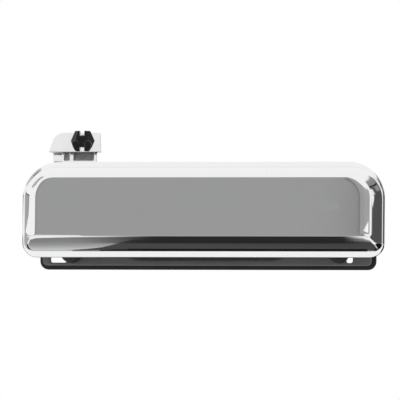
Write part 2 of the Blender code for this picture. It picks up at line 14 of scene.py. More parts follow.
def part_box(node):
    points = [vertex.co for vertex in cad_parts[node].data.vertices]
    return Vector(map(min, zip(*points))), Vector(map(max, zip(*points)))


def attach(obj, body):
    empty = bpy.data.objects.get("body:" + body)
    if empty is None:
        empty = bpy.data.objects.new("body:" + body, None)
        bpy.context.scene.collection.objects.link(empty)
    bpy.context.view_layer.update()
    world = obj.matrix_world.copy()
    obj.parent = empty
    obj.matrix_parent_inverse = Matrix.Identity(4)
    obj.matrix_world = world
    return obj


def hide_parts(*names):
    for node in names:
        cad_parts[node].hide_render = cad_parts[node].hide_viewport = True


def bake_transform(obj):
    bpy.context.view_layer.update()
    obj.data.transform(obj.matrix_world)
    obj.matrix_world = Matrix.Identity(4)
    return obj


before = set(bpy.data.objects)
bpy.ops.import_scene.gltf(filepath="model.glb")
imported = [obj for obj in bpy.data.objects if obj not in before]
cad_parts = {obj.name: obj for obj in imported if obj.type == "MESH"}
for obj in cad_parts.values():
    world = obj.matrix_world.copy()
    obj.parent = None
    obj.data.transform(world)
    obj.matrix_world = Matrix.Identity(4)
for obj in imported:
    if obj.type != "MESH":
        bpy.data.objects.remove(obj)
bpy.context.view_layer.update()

MM = 0.001
GAP = 0.3  # clearance that the frame keeps between pieces that touch


def box_mm(node):
    low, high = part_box(node)
    return low / MM, high / MM


def centre_mm(node):
    low, high = box_mm(node)
    return (low + high) / 2


PADDLE_LOW, PADDLE_HIGH = box_mm("handle_paddle")
GASKET_LOW, GASKET_HIGH = box_mm("gasket")
LEVER_LOW, LEVER_HIGH = box_mm("actuating_lever")
CLIP_LOW, CLIP_HIGH = box_mm("rod_clip")
PIN_END = box_mm("pivot_pin")[1].x
PIVOT = centre_mm("pivot_pin")
SIDES = (("left", -1), ("right", 1))

PANEL_FRONT = PADDLE_LOW.y
BASE_REAR = GASKET_LOW.y - GAP
BASE_FRONT = BASE_REAR - 3.0

FACE_Y = Matrix.Rotation(math.radians(90), 4, "X")  # local X, Y, Z to X, Z, -Y
ALONG_Y = Matrix.Rotation(math.radians(-90), 4, "X")  # local Z to +Y
ALONG_X = Matrix.Rotation(math.radians(90), 4, "Y")  # local Z to +X
AGAINST_X = Matrix.Rotation(math.radians(-90), 4, "Y")  # local Z to -X


# --- node helpers


class Nodes:
    """Short calls for building one material's node tree."""

    def __init__(self, tree):
        self.tree = tree

    def add(self, kind, inputs=None, **settings):
        node = self.tree.nodes.new("ShaderNode" + kind)
        for name, value in settings.items():
            setattr(node, name, value)
        for name, value in (inputs or {}).items():
            self.set(node, name, value)
        return node

    def set(self, node, name, value):
        if isinstance(value, bpy.types.NodeSocket):
            self.tree.links.new(value, node.inputs[name])
        else:
            node.inputs[name].default_value = value

    def math(self, operation, *values):
        node = self.add("Math", operation=operation)
        for number, value in enumerate(values):
            self.set(node, number, value)
        return node.outputs[0]

    def noise(self, scale, detail=4.0, roughness=0.5, distortion=0.0):
        inputs = {"Scale": scale, "Detail": detail, "Roughness": roughness, "Distortion": distortion}
        node = self.add("TexNoise", inputs)
        self.set(node, "Vector", self.position())
        return node.outputs["Fac"]

    def position(self):
        return self.add("TexCoord").outputs["Object"]

    def step(self, value, low, high, out_low=0.0, out_high=1.0):
        inputs = {"Value": value, "From Min": low, "From Max": high, "To Min": out_low, "To Max": out_high}
        node = self.add("MapRange", inputs, interpolation_type="SMOOTHSTEP")
        return node.outputs["Result"]

    def ramp(self, factor, low, high):
        """A colour between two greys or colours."""
        inputs = {0: factor, 6: (*low, 1.0), 7: (*high, 1.0)}
        return self.add("Mix", inputs, data_type="RGBA").outputs[2]

    def mix(self, factor, first, second):
        """A number between two."""
        inputs = {0: factor, 2: first, 3: second}
        return self.add("Mix", inputs, data_type="FLOAT").outputs[0]

    def mix_shaders(self, factor, first, second):
        return self.add("MixShader", {0: factor, 1: first, 2: second}).outputs[0]

    def bump(self, height, distance, strength):
        inputs = {"Height": height, "Distance": distance, "Strength": strength}
        return self.add("Bump", inputs).outputs["Normal"]


def new_material(name):
    material = bpy.data.materials.new(name)
    material.use_nodes = True
    tree = material.node_tree
    return material, Nodes(tree), tree.nodes["Principled BSDF"]


def polished_chrome():
    """Bright plating with faint waves, a little haze and a few specks of dust."""
    material, n, shader = new_material("polished_chrome")
    haze = n.noise(60.0, 5.0, 0.6)
    specks = n.add("TexVoronoi", {"Scale": 260.0, "Vector": n.position()}, feature="F1")
    dust = n.step(specks.outputs["Distance"], 0.13, 0.07)
    sparse = n.step(n.noise(45.0, 2.0), 0.57, 0.62)
    dust = n.math("MULTIPLY", dust, sparse)
    n.set(shader, "Base Color", n.ramp(haze, (0.90, 0.905, 0.91), (0.94, 0.94, 0.94)))
    n.set(shader, "Metallic", 1.0)
    rough = n.step(haze, 0.3, 0.7, 0.035, 0.075)
    n.set(shader, "Roughness", n.math("ADD", rough, n.math("MULTIPLY", dust, 0.45)))
    n.set(shader, "Normal", n.bump(n.noise(90.0, 2.0), 0.0000015, 0.6))
    return material


def pocket_painted_shade():
    """Painted shade: dull, darkened, mottled plating at the bottom of the lever's pockets."""
    material, n, shader = new_material("pocket_painted_shade")
    shade_mottle = n.noise(420.0, 5.0, 0.65)
    n.set(shader, "Base Color", n.ramp(shade_mottle, (0.13, 0.13, 0.13), (0.66, 0.66, 0.66)))
    n.set(shader, "Metallic", n.step(shade_mottle, 0.4, 0.6, 0.2, 0.9))
    n.set(shader, "Roughness", n.step(shade_mottle, 0.3, 0.7, 0.65, 0.35))
    n.set(shader, "Normal", n.bump(shade_mottle, 0.00004, 0.5))
    return material


def mottled(name, mottle, colours, rough, grain, bump, settings=None):
    """Colour and roughness follow one noise, and a finer one makes the grain.

    Both noises are (scale, detail, roughness), and bump is (distance, strength).
    """
    material, n, shader = new_material(name)
    pattern = n.noise(*mottle)
    n.set(shader, "Base Color", n.ramp(pattern, *colours))
    n.set(shader, "Roughness", n.step(pattern, 0.3, 0.7, *rough))
    n.set(shader, "Normal", n.bump(n.noise(*grain), *bump))
    for socket, value in (settings or {}).items():
        n.set(shader, socket, value)
    return material


METAL = {"Metallic": 1.0}
CHROME = polished_chrome()
# painted shade for the floors of the lever's pockets
POCKET_SHADE = pocket_painted_shade()
CAST = mottled(  # plating over a raw casting, as inside the paddle
    "satin_cast_chrome", (80.0, 4.0, 0.6), ((0.60, 0.60, 0.61), (0.76, 0.76, 0.77)), (0.22, 0.38),
    (900.0, 4.0, 0.6), (0.00004, 0.5), METAL,
)
CREVICE_SHADE = mottled(  # painted shade: a black line in the crease above the paddle's lower rim, for its shadow and dark reflection
    "crevice_painted_shade", (300.0, 5.0, 0.65), ((0.002, 0.002, 0.002), (0.006, 0.006, 0.006)), (0.5, 0.75),
    (300.0, 5.0, 0.65), (0.00002, 0.4), {"Specular IOR Level": 0.08},
)
LEVER = mottled(  # plated casting, soft at its edges
    "lever_chrome", (140.0, 4.0, 0.6), ((0.84, 0.845, 0.85), (0.92, 0.92, 0.92)), (0.10, 0.20),
    (350.0, 3.0), (0.00002, 0.5), METAL,
)
BLACK = mottled(  # satin moulded plastic with a fine grain and rubbed patches
    "moulded_black", (55.0, 5.0, 0.65), ((0.125, 0.126, 0.128), (0.185, 0.186, 0.188)), (0.38, 0.52),
    (1800.0, 3.0, 0.6), (0.00006, 0.35),
)
RUBBER = mottled(
    "black_rubber", (70.0, 5.0, 0.6), ((0.010, 0.010, 0.011), (0.020, 0.020, 0.021)), (0.62, 0.82),
    (2200.0, 4.0, 0.7), (0.00008, 0.4),
)
CLIP = mottled(
    "clip_black", (120.0, 4.0, 0.6, 0.6), ((0.002, 0.002, 0.002), (0.006, 0.006, 0.006)), (0.16, 0.28),
    (900.0,), (0.00003, 0.4),
)
NYLON = mottled(
    "natural_nylon", (160.0, 4.0), ((0.66, 0.64, 0.56), (0.76, 0.75, 0.68)), (0.42, 0.58),
    (1200.0,), (0.00003, 0.4), {"Subsurface Weight": 0.15, "Subsurface Scale": 0.001},
)
ZINC = mottled(  # a faint yellow and blue bloom
    "zinc_plating", (110.0, 5.0, 0.6), ((0.66, 0.65, 0.58), (0.68, 0.70, 0.74)), (0.20, 0.36),
    (1500.0, 3.0), (0.00003, 0.4), METAL,
)
STEEL = mottled(
    "spring_steel", (300.0, 4.0, 0.6), ((0.17, 0.17, 0.18), (0.34, 0.33, 0.32)), (0.25, 0.42),
    (1600.0,), (0.00003, 0.4), METAL,
)


# --- mesh helpers


def shade(mesh, sharp_angle):
    """Smooth shading, with sharp edges where the surface turns by more than the angle."""
    mesh.shade_smooth()
    mesh.set_sharp_from_angle(angle=math.radians(sharp_angle))


def scene_object(name, data):
    obj = bpy.data.objects.new(name, data)
    bpy.context.scene.collection.objects.link(obj)
    return obj


def evaluated_mesh(obj):
    """The object's shape as a mesh, with its modifiers or its curve's bevel applied."""
    bpy.context.view_layer.update()
    evaluated = obj.evaluated_get(bpy.context.evaluated_depsgraph_get())
    return bpy.data.meshes.new_from_object(evaluated)


def mesh_object(name, bm, matrix=Matrix(), sharp_angle=40):
    """An object in metres from a bmesh in millimetres, with its corners kept sharp."""
    bm.transform(Matrix.Scale(MM, 4) @ matrix)
    bmesh.ops.recalc_face_normals(bm, faces=bm.faces)
    mesh = bpy.data.meshes.new(name)
    bm.to_mesh(mesh)
    bm.free()
    shade(mesh, sharp_angle)
    return scene_object(name, mesh)


def finish_piece(obj, material, body, slot, *nodes):
    if not obj.data.materials:
        obj.data.materials.append(material)
    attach(obj, body)
    if nodes:
        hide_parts(*nodes)


def place(x=0.0, y=0.0, z=0.0):
    return Matrix.Translation((x, y, z))


def arc(centre, radius, start, end, steps):
    """Points from the start angle to the end angle, both included."""
    turns = (math.radians(start + (end - start) * i / steps) for i in range(steps + 1))
    return [(centre[0] + radius * math.cos(t), centre[1] + radius * math.sin(t)) for t in turns]


def circle(radius, steps, centre=(0, 0)):
    return arc(centre, radius, 0, 360, steps)[:-1]


def line(start, end, steps):
    """Points after the start and before the end."""
    return [
        (start[0] + (end[0] - start[0]) * i / steps, start[1] + (end[1] - start[1]) * i / steps)
        for i in range(1, steps)
    ]


def rounded_outline(low, high, top, bottom, corner_steps=(16, 12), edge_steps=(1, 1)):
    """A rectangle with rounded corners; long and short edges are cut into edge_steps."""
    (x0, z0), (x1, z1) = low, high
    upper, lower = corner_steps
    corners = (
        arc((x1 - bottom, z0 + bottom), bottom, -90, 0, lower),
        arc((x1 - top, z1 - top), top, 0, 90, upper),
        arc((x0 + top, z1 - top), top, 90, 180, upper),
        arc((x0 + bottom, z0 + bottom), bottom, 180, 270, lower),
    )
    outline = []
    for i, corner in enumerate(corners):
        outline += corner + line(corner[-1], corners[(i + 1) % 4][0], edge_steps[1 - i % 2])
    return outline


def loft_mesh(rings):
    """Quads between rings of equal count, closed at both ends."""
    bm = bmesh.new()
    rows = [[bm.verts.new(point) for point in ring] for ring in rings]
    for row, following in zip(rows, rows[1:]):
        for i in range(len(row)):
            j = (i + 1) % len(row)
            bm.faces.new((row[i], row[j], following[j], following[i]))
    bm.faces.new(rows[0])
    bm.faces.new(rows[-1])
    return bm


def lathe_mesh(profile, steps=72, ring=False):
    """A profile of (radius, height) turned about Z; points on the axis close the ends."""
    bm = bmesh.new()
    rows = []
    for radius, height in profile:
        points = circle(radius, steps) if radius else [(0, 0)]
        rows.append([bm.verts.new((x, y, height)) for x, y in points])
    following_rows = rows[1:] + rows[:1] if ring else rows[1:]
    for a, b in zip(rows, following_rows):
        for i in range(steps):
            j = (i + 1) % steps
            corners = (a[i % len(a)], a[j % len(a)], b[j % len(b)], b[i % len(b)])
            bm.faces.new(tuple(dict.fromkeys(corners)))
    return bm


def rounded_profile(points, radius, steps=4):
    """The profile with each of its inner corners replaced by a short curve."""
    made = [points[0]]
    for before, corner, after in zip(points, points[1:], points[2:]):
        corner, before, after = Vector(corner), Vector(before), Vector(after)
        reach = min(radius, (before - corner).length * 0.45, (after - corner).length * 0.45)
        start = corner + (before - corner).normalized() * reach
        end = corner + (after - corner).normalized() * reach
        for i in range(steps + 1):
            t = i / steps
            made.append(tuple(start * (1 - t) ** 2 + corner * 2 * t * (1 - t) + end * t * t))
    made.append(points[-1])
    return made


def flat_piece(name, outlines, thickness, edge, matrix):
    """Filled outlines, the later ones holes, extruded with a rounded edge."""
    curve = bpy.data.curves.new(name, "CURVE")
    curve.dimensions = "2D"
    curve.fill_mode = "BOTH"
    curve.extrude = (thickness / 2 - edge) * MM
    curve.bevel_depth = edge * MM
    curve.bevel_resolution = 2
    curve.offset = -edge * MM
    for outline in outlines:
        spline = curve.splines.new("POLY")
        spline.points.add(len(outline) - 1)
        for point, (x, y) in zip(spline.points, outline):
            point.co = (x * MM, y * MM, 0, 1)
        spline.use_cyclic_u = True
    drawn = scene_object(name, curve)
    bm = bmesh.new()
    bm.from_mesh(evaluated_mesh(drawn))
    bpy.data.objects.remove(drawn, do_unlink=True)
    bmesh.ops.remove_doubles(bm, verts=bm.verts, dist=1e-7)
    bm.transform(Matrix.Scale(1 / MM, 4))
    return mesh_object(name, bm, matrix, 35)


def box_object(low, high):
    bm = bmesh.new()
    bmesh.ops.create_cube(bm, size=1.0)
    low, high = Vector(low), Vector(high)
    for vert in bm.verts:
        vert.co = Vector(c * s for c, s in zip(vert.co, high - low)) + (low + high) / 2
    return mesh_object("block", bm)


def rod_object(radius, low, high, matrix):
    profile = [(0, high), (radius, high), (radius, low), (0, low)]
    return mesh_object("rod", lathe_mesh(profile, 48), matrix)


def hole_at(x, y, z, turn, radius, half_length):
    """A rod to cut a hole, with its middle at the point."""
    return rod_object(radius, -half_length, half_length, place(x, y, z) @ turn)


def prism_object(outline, low, high, matrix):
    rings = [[(x, y, level) for x, y in outline] for level in (low, high)]
    return mesh_object("prism", loft_mesh(rings), matrix)


def applied(obj):
    """Bakes the object's modifiers into its mesh."""
    mesh = evaluated_mesh(obj)
    obj.modifiers.clear()
    obj.data = mesh


def combine(obj, operation, *others):
    """Joins the others to the object or cuts them from it, and removes them."""
    for other in others:
        modifier = obj.modifiers.new("combine", "BOOLEAN")
        modifier.operation = operation
        modifier.object = other
    applied(obj)
    for other in others:
        bpy.data.objects.remove(other, do_unlink=True)


def soften(obj, voxel, rounds):
    """Remeshes the solid evenly and relaxes it, which rounds its edges like a casting's."""
    remesh = obj.modifiers.new("remesh", "REMESH")
    remesh.mode = "VOXEL"
    remesh.voxel_size = voxel * MM
    relax = obj.modifiers.new("relax", "SMOOTH")
    relax.factor = 0.5
    relax.iterations = rounds
    applied(obj)
    obj.data.shade_smooth()


# --- paddle

CROWN = 1.0  # how far the panel's ends lie behind its middle
PADDLE_TOP_RADIUS, PADDLE_BOTTOM_RADIUS = 17.5, 7.2
SMALLEST_RADIUS = 1.6
RIM_REAR = -14.2
FOOT_Y = -17.1  # where the rim meets the bevel
PANEL_BACK = PANEL_FRONT + 2.0
CORNER_STEPS, EDGE_STEPS = (52, 28), (60, 8)

# Each edge's insets: the bevel's foot, its shoulder, where the flat panel starts; and how far
# the shoulder lies behind the panel.
LEFT_EDGE = (1.35, 4.90, 10.60, 2.90)
RIGHT_EDGE = (0.75, 4.80, 10.40, 2.90)
TOP_EDGE = (2.30, 5.70, 10.00, 2.10)
BOTTOM_EDGE = (2.80, 8.80, 11.80, 0.60)
EDGES = (LEFT_EDGE, RIGHT_EDGE, TOP_EDGE, BOTTOM_EDGE)


def edge_profile(foot, shoulder, panel, depth):
    """One edge's outer skin from the rim's rear inwards, as (inset, y)."""
    rim = [
        (0.45, RIM_REAR), (0.12, RIM_REAR - 0.12), (0.0, RIM_REAR - 0.45), (0.0, RIM_REAR - 0.85),
        (0.03 * foot, RIM_REAR - 1.12), (0.10 * foot, RIM_REAR - 1.38),
    ]
    start, steps, swell = rim[-1], 8, 0.10
    for i in range(1, steps + 1):
        t = i / steps
        inset = start[0] + (foot - start[0]) * t - swell * 4 * t * (1 - t)
        rim.append((inset, start[1] + (FOOT_Y - start[1]) * t))
    rim += [(foot + 0.05, FOOT_Y - 0.06), (foot + 0.09, FOOT_Y - 0.20)]
    # the bevel is steep at its foot and eases off towards its shoulder
    start, steps = (foot + 0.10, FOOT_Y - 0.34), 16
    end_y = PANEL_FRONT + depth
    bevel = []
    for i in range(steps):
        t = i / steps
        share = 0.315 * t + 0.685 * t ** 1.593
        bevel.append((start[0] + (shoulder - start[0]) * share, start[1] + (end_y - start[1]) * t))
    # the crease carries the bevel's slope on and dies out at the panel
    slope = 1.406 * (shoulder - start[0]) / (start[1] - end_y)
    power = (panel - shoulder) / (slope * depth)
    steps = 16
    crease = []
    for i in range(steps + 1):
        t = (i / steps) ** 1.5
        crease.append((shoulder + (panel - shoulder) * t, end_y - depth * (1 - (1 - t) ** power)))
    return rim + bevel + crease


def paddle_ring(left, right, top, bottom):
    """A ring from the (inset, y) of its four edges."""
    x0, x1 = PADDLE_LOW.x + left[0], PADDLE_HIGH.x - right[0]
    z0, z1 = PADDLE_LOW.z + bottom[0], PADDLE_HIGH.z - top[0]
    largest = (z1 - z0) * 0.45
    outline = rounded_outline(
        (x0, z0), (x1, z1),
        min(max(PADDLE_TOP_RADIUS - top[0], SMALLEST_RADIUS), largest),
        min(max(PADDLE_BOTTOM_RADIUS - bottom[0], SMALLEST_RADIUS), largest),
        CORNER_STEPS, EDGE_STEPS,
    )
    weights = rounded_outline((-1, -1), (1, 1), 1, 1, CORNER_STEPS, EDGE_STEPS)
    ring = []
    for (x, z), (across, up) in zip(outline, weights):
        level = top[1] if up > 0 else bottom[1]
        side = right[1] if across > 0 else left[1]
        y = level + (side - level) * across ** 2 / (across ** 2 + up ** 2)
        forward = min(max((FOOT_Y - y) / (FOOT_Y - PANEL_FRONT), 0.0), 1.0)
        ring.append((x, y + CROWN * forward * (x / PADDLE_HIGH.x) ** 2, z))
    return ring


def flat_rings(insets, y):
    """Rings that close a flat panel from its edge to its middle."""
    reach = (PADDLE_HIGH.z - PADDLE_LOW.z) / 2 - max(insets) - 0.4
    steps = 10
    rings = []
    for i in range(1, steps + 1):
        grown = [(inset + reach * i / steps, y) for inset in insets]
        rings.append(paddle_ring(*grown))
    return rings


# The inside of the shell, from the rim's rear inwards: (side, top and bottom inset, y)
INSIDE = (
    (1.80, 2.00, 2.20, RIM_REAR),
    (2.05, 2.40, 2.70, RIM_REAR - 0.3),
    (2.30, 2.90, 3.40, RIM_REAR - 1.4),
    (3.40, 4.20, 5.00, -17.6),
    (4.30, 4.90, 6.20, -21.2),
    (6.10, 6.60, 8.40, -24.2),
    (7.80, 7.90, 9.60, -25.6),
    (9.80, 9.40, 10.80, -26.3),
    (11.50, 10.80, 12.00, PANEL_BACK),
)


CREVICE_LEFT, CREVICE_RIGHT = -61.0, 79.0  # the ends of the painted shade in the crease along the lower rim
CREVICE_DEPTH = 2.8  # how far forwards the painted shade reaches, up the bevel
CREVICE_TAPER = 28.0  # the length over which it thins out to the left
CREVICE_REAR = 0.7  # how far backwards it reaches, on to the rim


def in_crevice(point):
    """True where the lower rim meets the bevel."""
    foot = BOTTOM_EDGE[0]
    share = (point.x - CREVICE_LEFT) / CREVICE_TAPER
    depth = CREVICE_DEPTH * min(max(share, 0.3), 1.0)
    along = CREVICE_LEFT < point.x < CREVICE_RIGHT
    up = foot < point.z - PADDLE_LOW.z < foot + 0.09 + 0.4 * depth
    return along and up and FOOT_Y - depth < point.y < FOOT_Y + CREVICE_REAR


def make_paddle():
    profiles = [edge_profile(*edge) for edge in EDGES]
    outer = [paddle_ring(*row) for row in zip(*profiles)]
    front = flat_rings([edge[2] for edge in EDGES], PANEL_FRONT)
    inner = [
        paddle_ring((side, y), (side, y), (top, y), (bottom, y))
        for side, top, bottom, y in INSIDE
    ]
    side, top, bottom, y = INSIDE[-1]
    back = flat_rings((side, side, top, bottom), y)
    skin = front[::-1] + outer[::-1]
    rings = skin + inner + back
    paddle = mesh_object("paddle", loft_mesh(rings), sharp_angle=50)
    for material in (CHROME, CAST, CREVICE_SHADE):
        paddle.data.materials.append(material)
    # the loft's two end faces come last, the front one first
    first_inside, front_cap = len(skin) * len(rings[0]), (len(rings) - 1) * len(rings[0])
    for polygon in paddle.data.polygons:
        if polygon.index >= first_inside and polygon.index != front_cap:
            polygon.material_index = 1
        # the crease along the lower rim gets the painted shade
        elif in_crevice(polygon.center / MM):
            polygon.material_index = 2
    finish_piece(paddle, CHROME, "paddle", "chrome", "handle_paddle")


def ear_outline(radius, root_y, root_low, root_high):
    """A round head at the pivot and a flat root, as (y, z)."""
    if root_y > PIVOT.y:
        head = arc((PIVOT.y, PIVOT.z), radius, 90, 270, 24)
        return head + [(root_y, root_low), (root_y, root_high)]
    head = arc((PIVOT.y, PIVOT.z), radius, -90, 90, 24)
    return head + [(root_y, root_high), (root_y, root_low)]


def along_x_prism(outline_yz, x0, x1):
    rings = [[(x, y, z) for y, z in outline_yz] for x in (x0, x1)]
    return mesh_object("prism", loft_mesh(rings))


EAR_X, EAR_HALF, EAR_BORE = 43.5, 2.5, 3.3  # the paddle's ears: place, half thickness, hole
SCREW_X = [centre_mm(f"lever_screw_{number}").x for number in (1, 2)]
SCREW_Z = centre_mm("lever_screw_1").z
SCREW_HOLE, CLIP_HOLE = 2.1, 2.9
FOOT_FRONT = LEVER_LOW.y
FOOT_LEFT, FOOT_RIGHT, FOOT_LOW_Z, FOOT_HIGH_Z = -75.5, -49.5, -12.5, -1.5
ROOT_DEPTH = 0.5  # how far the ears sink into the panel's back


def make_paddle_insides():
    """Ears for the pin and the boss for the lever's foot, one casting with the shell."""
    outline = ear_outline(5.0, PANEL_BACK - ROOT_DEPTH, -7.0, 1.0)
    for number, (_, sign) in enumerate(SIDES, 1):
        ear = along_x_prism(outline, sign * EAR_X - EAR_HALF, sign * EAR_X + EAR_HALF)
        combine(ear, "DIFFERENCE", hole_at(sign * EAR_X, PIVOT.y, PIVOT.z, ALONG_X, EAR_BORE, 5))
        soften(ear, 0.25, 3)
        ear.name = f"paddle_ear_{number}"
        finish_piece(ear, CAST, "paddle", "chrome")
    face = FOOT_FRONT - GAP
    boss = box_object((LEVER_LOW.x + 1.2, PANEL_BACK, FOOT_LOW_Z), (FOOT_RIGHT, face, FOOT_HIGH_Z))
    holes = [hole_at(x, face, SCREW_Z, ALONG_Y, SCREW_HOLE, 3.5) for x in SCREW_X]
    combine(boss, "DIFFERENCE", *holes)
    soften(boss, 0.3, 3)
    boss.name = "lever_boss"
    finish_piece(boss, CAST, "paddle", "chrome")


# --- lever

CLIP_X, _, CLIP_Z = centre_mm("rod_clip")
PLATE_FRONT, PLATE_REAR = 6.4, LEVER_HIGH.y
PLATE_RIGHT, PLATE_BOTTOM = -53.1, 15.9
NECK_FRONT, NECK_LEFT, NECK_RIGHT = 7.4, -71.5, -55.2
ARM_LOW, ARM_HIGH = (-67.5, -8.0), (-57.5, -3.0)
FOOT_THICK = 2.5
LEAN = 13.0  # degrees that the plate's and the neck's faces lean back
POCKET_LOW, POCKET_HIGH = 12.0, 15.4
POCKETS = ((-66.3, -56.6, 1.9), (-70.8, -68.2, 1.4))  # (left, right, depth)


def lean_back(obj, left, right, front, low, height, below=0):
    """Cuts the front of an upright piece so that it leans back from its low edge."""
    wedge = box_object((left - 2, -8, -below), (right + 2, 0, height))
    tilt = Matrix.Rotation(math.radians(-LEAN), 4, "X")
    wedge.data.transform(place(0, front * MM, low * MM) @ tilt)
    combine(obj, "DIFFERENCE", wedge)


def lever_plate():
    """The upright plate with its rounded upper left corner, leaning back towards its top."""
    left, right, top = LEVER_LOW.x, PLATE_RIGHT, LEVER_HIGH.z
    outline = (
        [(left, PLATE_BOTTOM), (right, PLATE_BOTTOM)]
        + arc((right - 1.6, top - 1.2), 1.2, 0, 90, 6)
        + arc((left + 6.8, top - 5.4), 5.4, 90, 165, 12)
    )
    plate = prism_object(outline, -PLATE_REAR, -PLATE_FRONT, FACE_Y)
    lean_back(plate, left, right, PLATE_FRONT, PLATE_BOTTOM, 16, below=2)
    return plate


def lever_neck():
    """The neck under the plate, leaning back, with two pockets in its face."""
    low_left, low_right, low = ARM_LOW[0] + 0.4, ARM_HIGH[0] - 0.4, ARM_LOW[1] + 0.4
    top = PLATE_BOTTOM + 2
    outline = [
        (low_left, low), (low_right, low), (low_right, 1.0), (NECK_RIGHT, 5.0),
        (NECK_RIGHT, top), (NECK_LEFT, top), (NECK_LEFT, 5.0), (low_left, 1.0),
    ]
    neck = prism_object(outline, -PLATE_REAR + 0.2, -NECK_FRONT, FACE_Y)
    lean_back(neck, NECK_LEFT, NECK_RIGHT, NECK_FRONT, POCKET_LOW - 1.5, 5.4)
    pockets = [
        box_object((left, 0, POCKET_LOW), (right, NECK_FRONT + depth, POCKET_HIGH))
        for left, right, depth in POCKETS
    ]
    combine(neck, "DIFFERENCE", *pockets)
    return neck


def lever_gusset():
    """A web beside the neck, with a bent lip."""
    left, right = NECK_LEFT - 5.0, NECK_LEFT + 0.6
    outline = [(left + 1.0, 7.0), (right, 6.2), (right, PLATE_BOTTOM + 1), (left, PLATE_BOTTOM + 1)]
    gusset = prism_object(outline, -PLATE_REAR + 0.3, -8.0, FACE_Y)
    lean_back(gusset, left, right, 8.0, 11.5, 3.6)
    return gusset


def paint_pocket_shade(lever):
    """Gives the polygons inside the pockets their own material, the painted shade."""
    lever.data.materials.append(LEVER)
    lever.data.materials.append(POCKET_SHADE)
    margin = 0.15
    for polygon in lever.data.polygons:
        x, y, z = polygon.center / MM
        face = NECK_FRONT + (z - POCKET_LOW + 1.5) * math.tan(math.radians(LEAN))
        across = any(left - margin < x < right + margin for left, right, _ in POCKETS)
        up = POCKET_LOW - margin < z < POCKET_HIGH + margin
        if across and up and face + 0.22 < y <= NECK_FRONT + 2.2:
            polygon.material_index = 1


def make_lever():
    lever = lever_plate()
    arm = box_object((ARM_LOW[0], -20.0, ARM_LOW[1]), (ARM_HIGH[0], PLATE_REAR - 0.3, ARM_HIGH[1]))
    foot_rear = FOOT_FRONT + FOOT_THICK
    foot = box_object((FOOT_LEFT, FOOT_FRONT, FOOT_LOW_Z), (FOOT_RIGHT, foot_rear, FOOT_HIGH_Z))
    web = [(foot_rear - 0.5, -11.5), (foot_rear - 0.5, -6.0), (-8.0, -6.0), (-8.0, -8.6)]
    rib = along_x_prism(web, -63.6, -61.4)
    combine(lever, "UNION", lever_neck(), lever_gusset(), arm, foot, rib)
    holes = [hole_at(x, FOOT_FRONT, SCREW_Z, ALONG_Y, SCREW_HOLE, 4) for x in SCREW_X]
    holes.append(hole_at(CLIP_X, PLATE_FRONT, CLIP_Z, ALONG_Y, CLIP_HOLE, 9))
    combine(lever, "DIFFERENCE", *holes)
    soften(lever, 0.19, 3)
    # the pockets' floors get the painted shade
    paint_pocket_shade(lever)
    lever.name = "lever"
    finish_piece(lever, LEVER, "paddle", "lever_chrome", "actuating_lever")


def make_lever_screws():
    """Pan-head screws with a cross recess."""
    seat = -(FOOT_FRONT + FOOT_THICK + GAP)
    # (radius, height above the seat), from the shank's tip to the top of the head
    profile = (
        (0, 5.4), (1.2, 5.3), (1.8, 4.6), (1.8, 0), (2.6, 0), (2.6, -0.45),
        (2.4, -1.0), (1.8, -1.5), (0.9, -1.78), (0, -1.8),
    )
    profile = [(radius, seat + height) for radius, height in profile]
    top = -profile[-1][1]
    for number, x in enumerate(SCREW_X, 1):
        screw = mesh_object("screw", lathe_mesh(profile), place(x, 0, SCREW_Z) @ FACE_Y)
        cuts = []
        for across, up in ((1.5, 0.33), (0.33, 1.5)):
            low = (x - across, top - 1.0, SCREW_Z - up)
            cuts.append(box_object(low, (x + across, top + 0.5, SCREW_Z + up)))
        combine(screw, "DIFFERENCE", *cuts)
        shade(screw.data, 35)
        screw.name = f"screw_{number}"
        finish_piece(screw, ZINC, "paddle", "zinc_plated_steel", f"lever_screw_{number}")


def clip_facet(sign):
    """The block that cuts a sloping facet on one upper flank of the clip's head."""
    block = box_object((-8, -8, 0), (8, 8, 6))
    face = Vector((sign * 0.622, 0.162, 0.766)).normalized()
    turn = Vector((0, 0, 1)).rotation_difference(face).to_matrix().to_4x4()
    start = place(sign * 3.0 * MM, 0.2 * MM, (-CLIP_LOW.y - 0.35) * MM)
    block.data.transform(place(CLIP_X * MM, 0, CLIP_Z * MM) @ FACE_Y @ start @ turn)
    return block


def make_rod_clip():
    """Notched head with two raised lobes, a barrel through the lever and a snap collar."""
    front, back = PLATE_FRONT - GAP, PLATE_REAR + GAP
    head_front = CLIP_LOW.y
    notch = 1.15  # half the width of the notches above and below
    right = [
        (notch, -2.9), (notch, -4.8), (3.1, -4.8), (4.4, -2.8),
        (5.7, 0.2), (3.6, 4.79), (notch, 4.79), (notch, 2.4),
    ]
    outline = right + [(-x, z) for x, z in reversed(right)]
    at_clip = place(CLIP_X, 0, CLIP_Z) @ FACE_Y
    clip = prism_object(outline, -front, -(head_front + 0.35), at_clip)
    combine(clip, "DIFFERENCE", clip_facet(-1), clip_facet(1))
    lobes = [
        prism_object(circle(1.6, 24, (x, -1.5)), -front + 0.5, -head_front, at_clip) for x in (-2.9, 2.9)
    ]
    axis = place(CLIP_X, 0, CLIP_Z) @ ALONG_Y
    barrel = rod_object(2.6, front - 1.0, back + 1.0, axis)
    collar = rod_object(3.4, back, CLIP_HIGH.y, axis)
    combine(clip, "UNION", *lobes, barrel, collar)
    bore = rod_object(1.6, back - 4, back + 4, axis)
    slit = box_object((CLIP_X - 0.35, back - 2.0, CLIP_Z - 5), (CLIP_X + 0.35, back + 4, CLIP_Z + 5))
    combine(clip, "DIFFERENCE", bore, slit)
    soften(clip, 0.12, 1)
    clip.name = "clip"
    finish_piece(clip, CLIP, "rod_clip", "clip_plastic", "rod_clip")
    clip.visible_glossy = False  # keeps its dark image off the paddle's bright top edge


# --- base and gasket

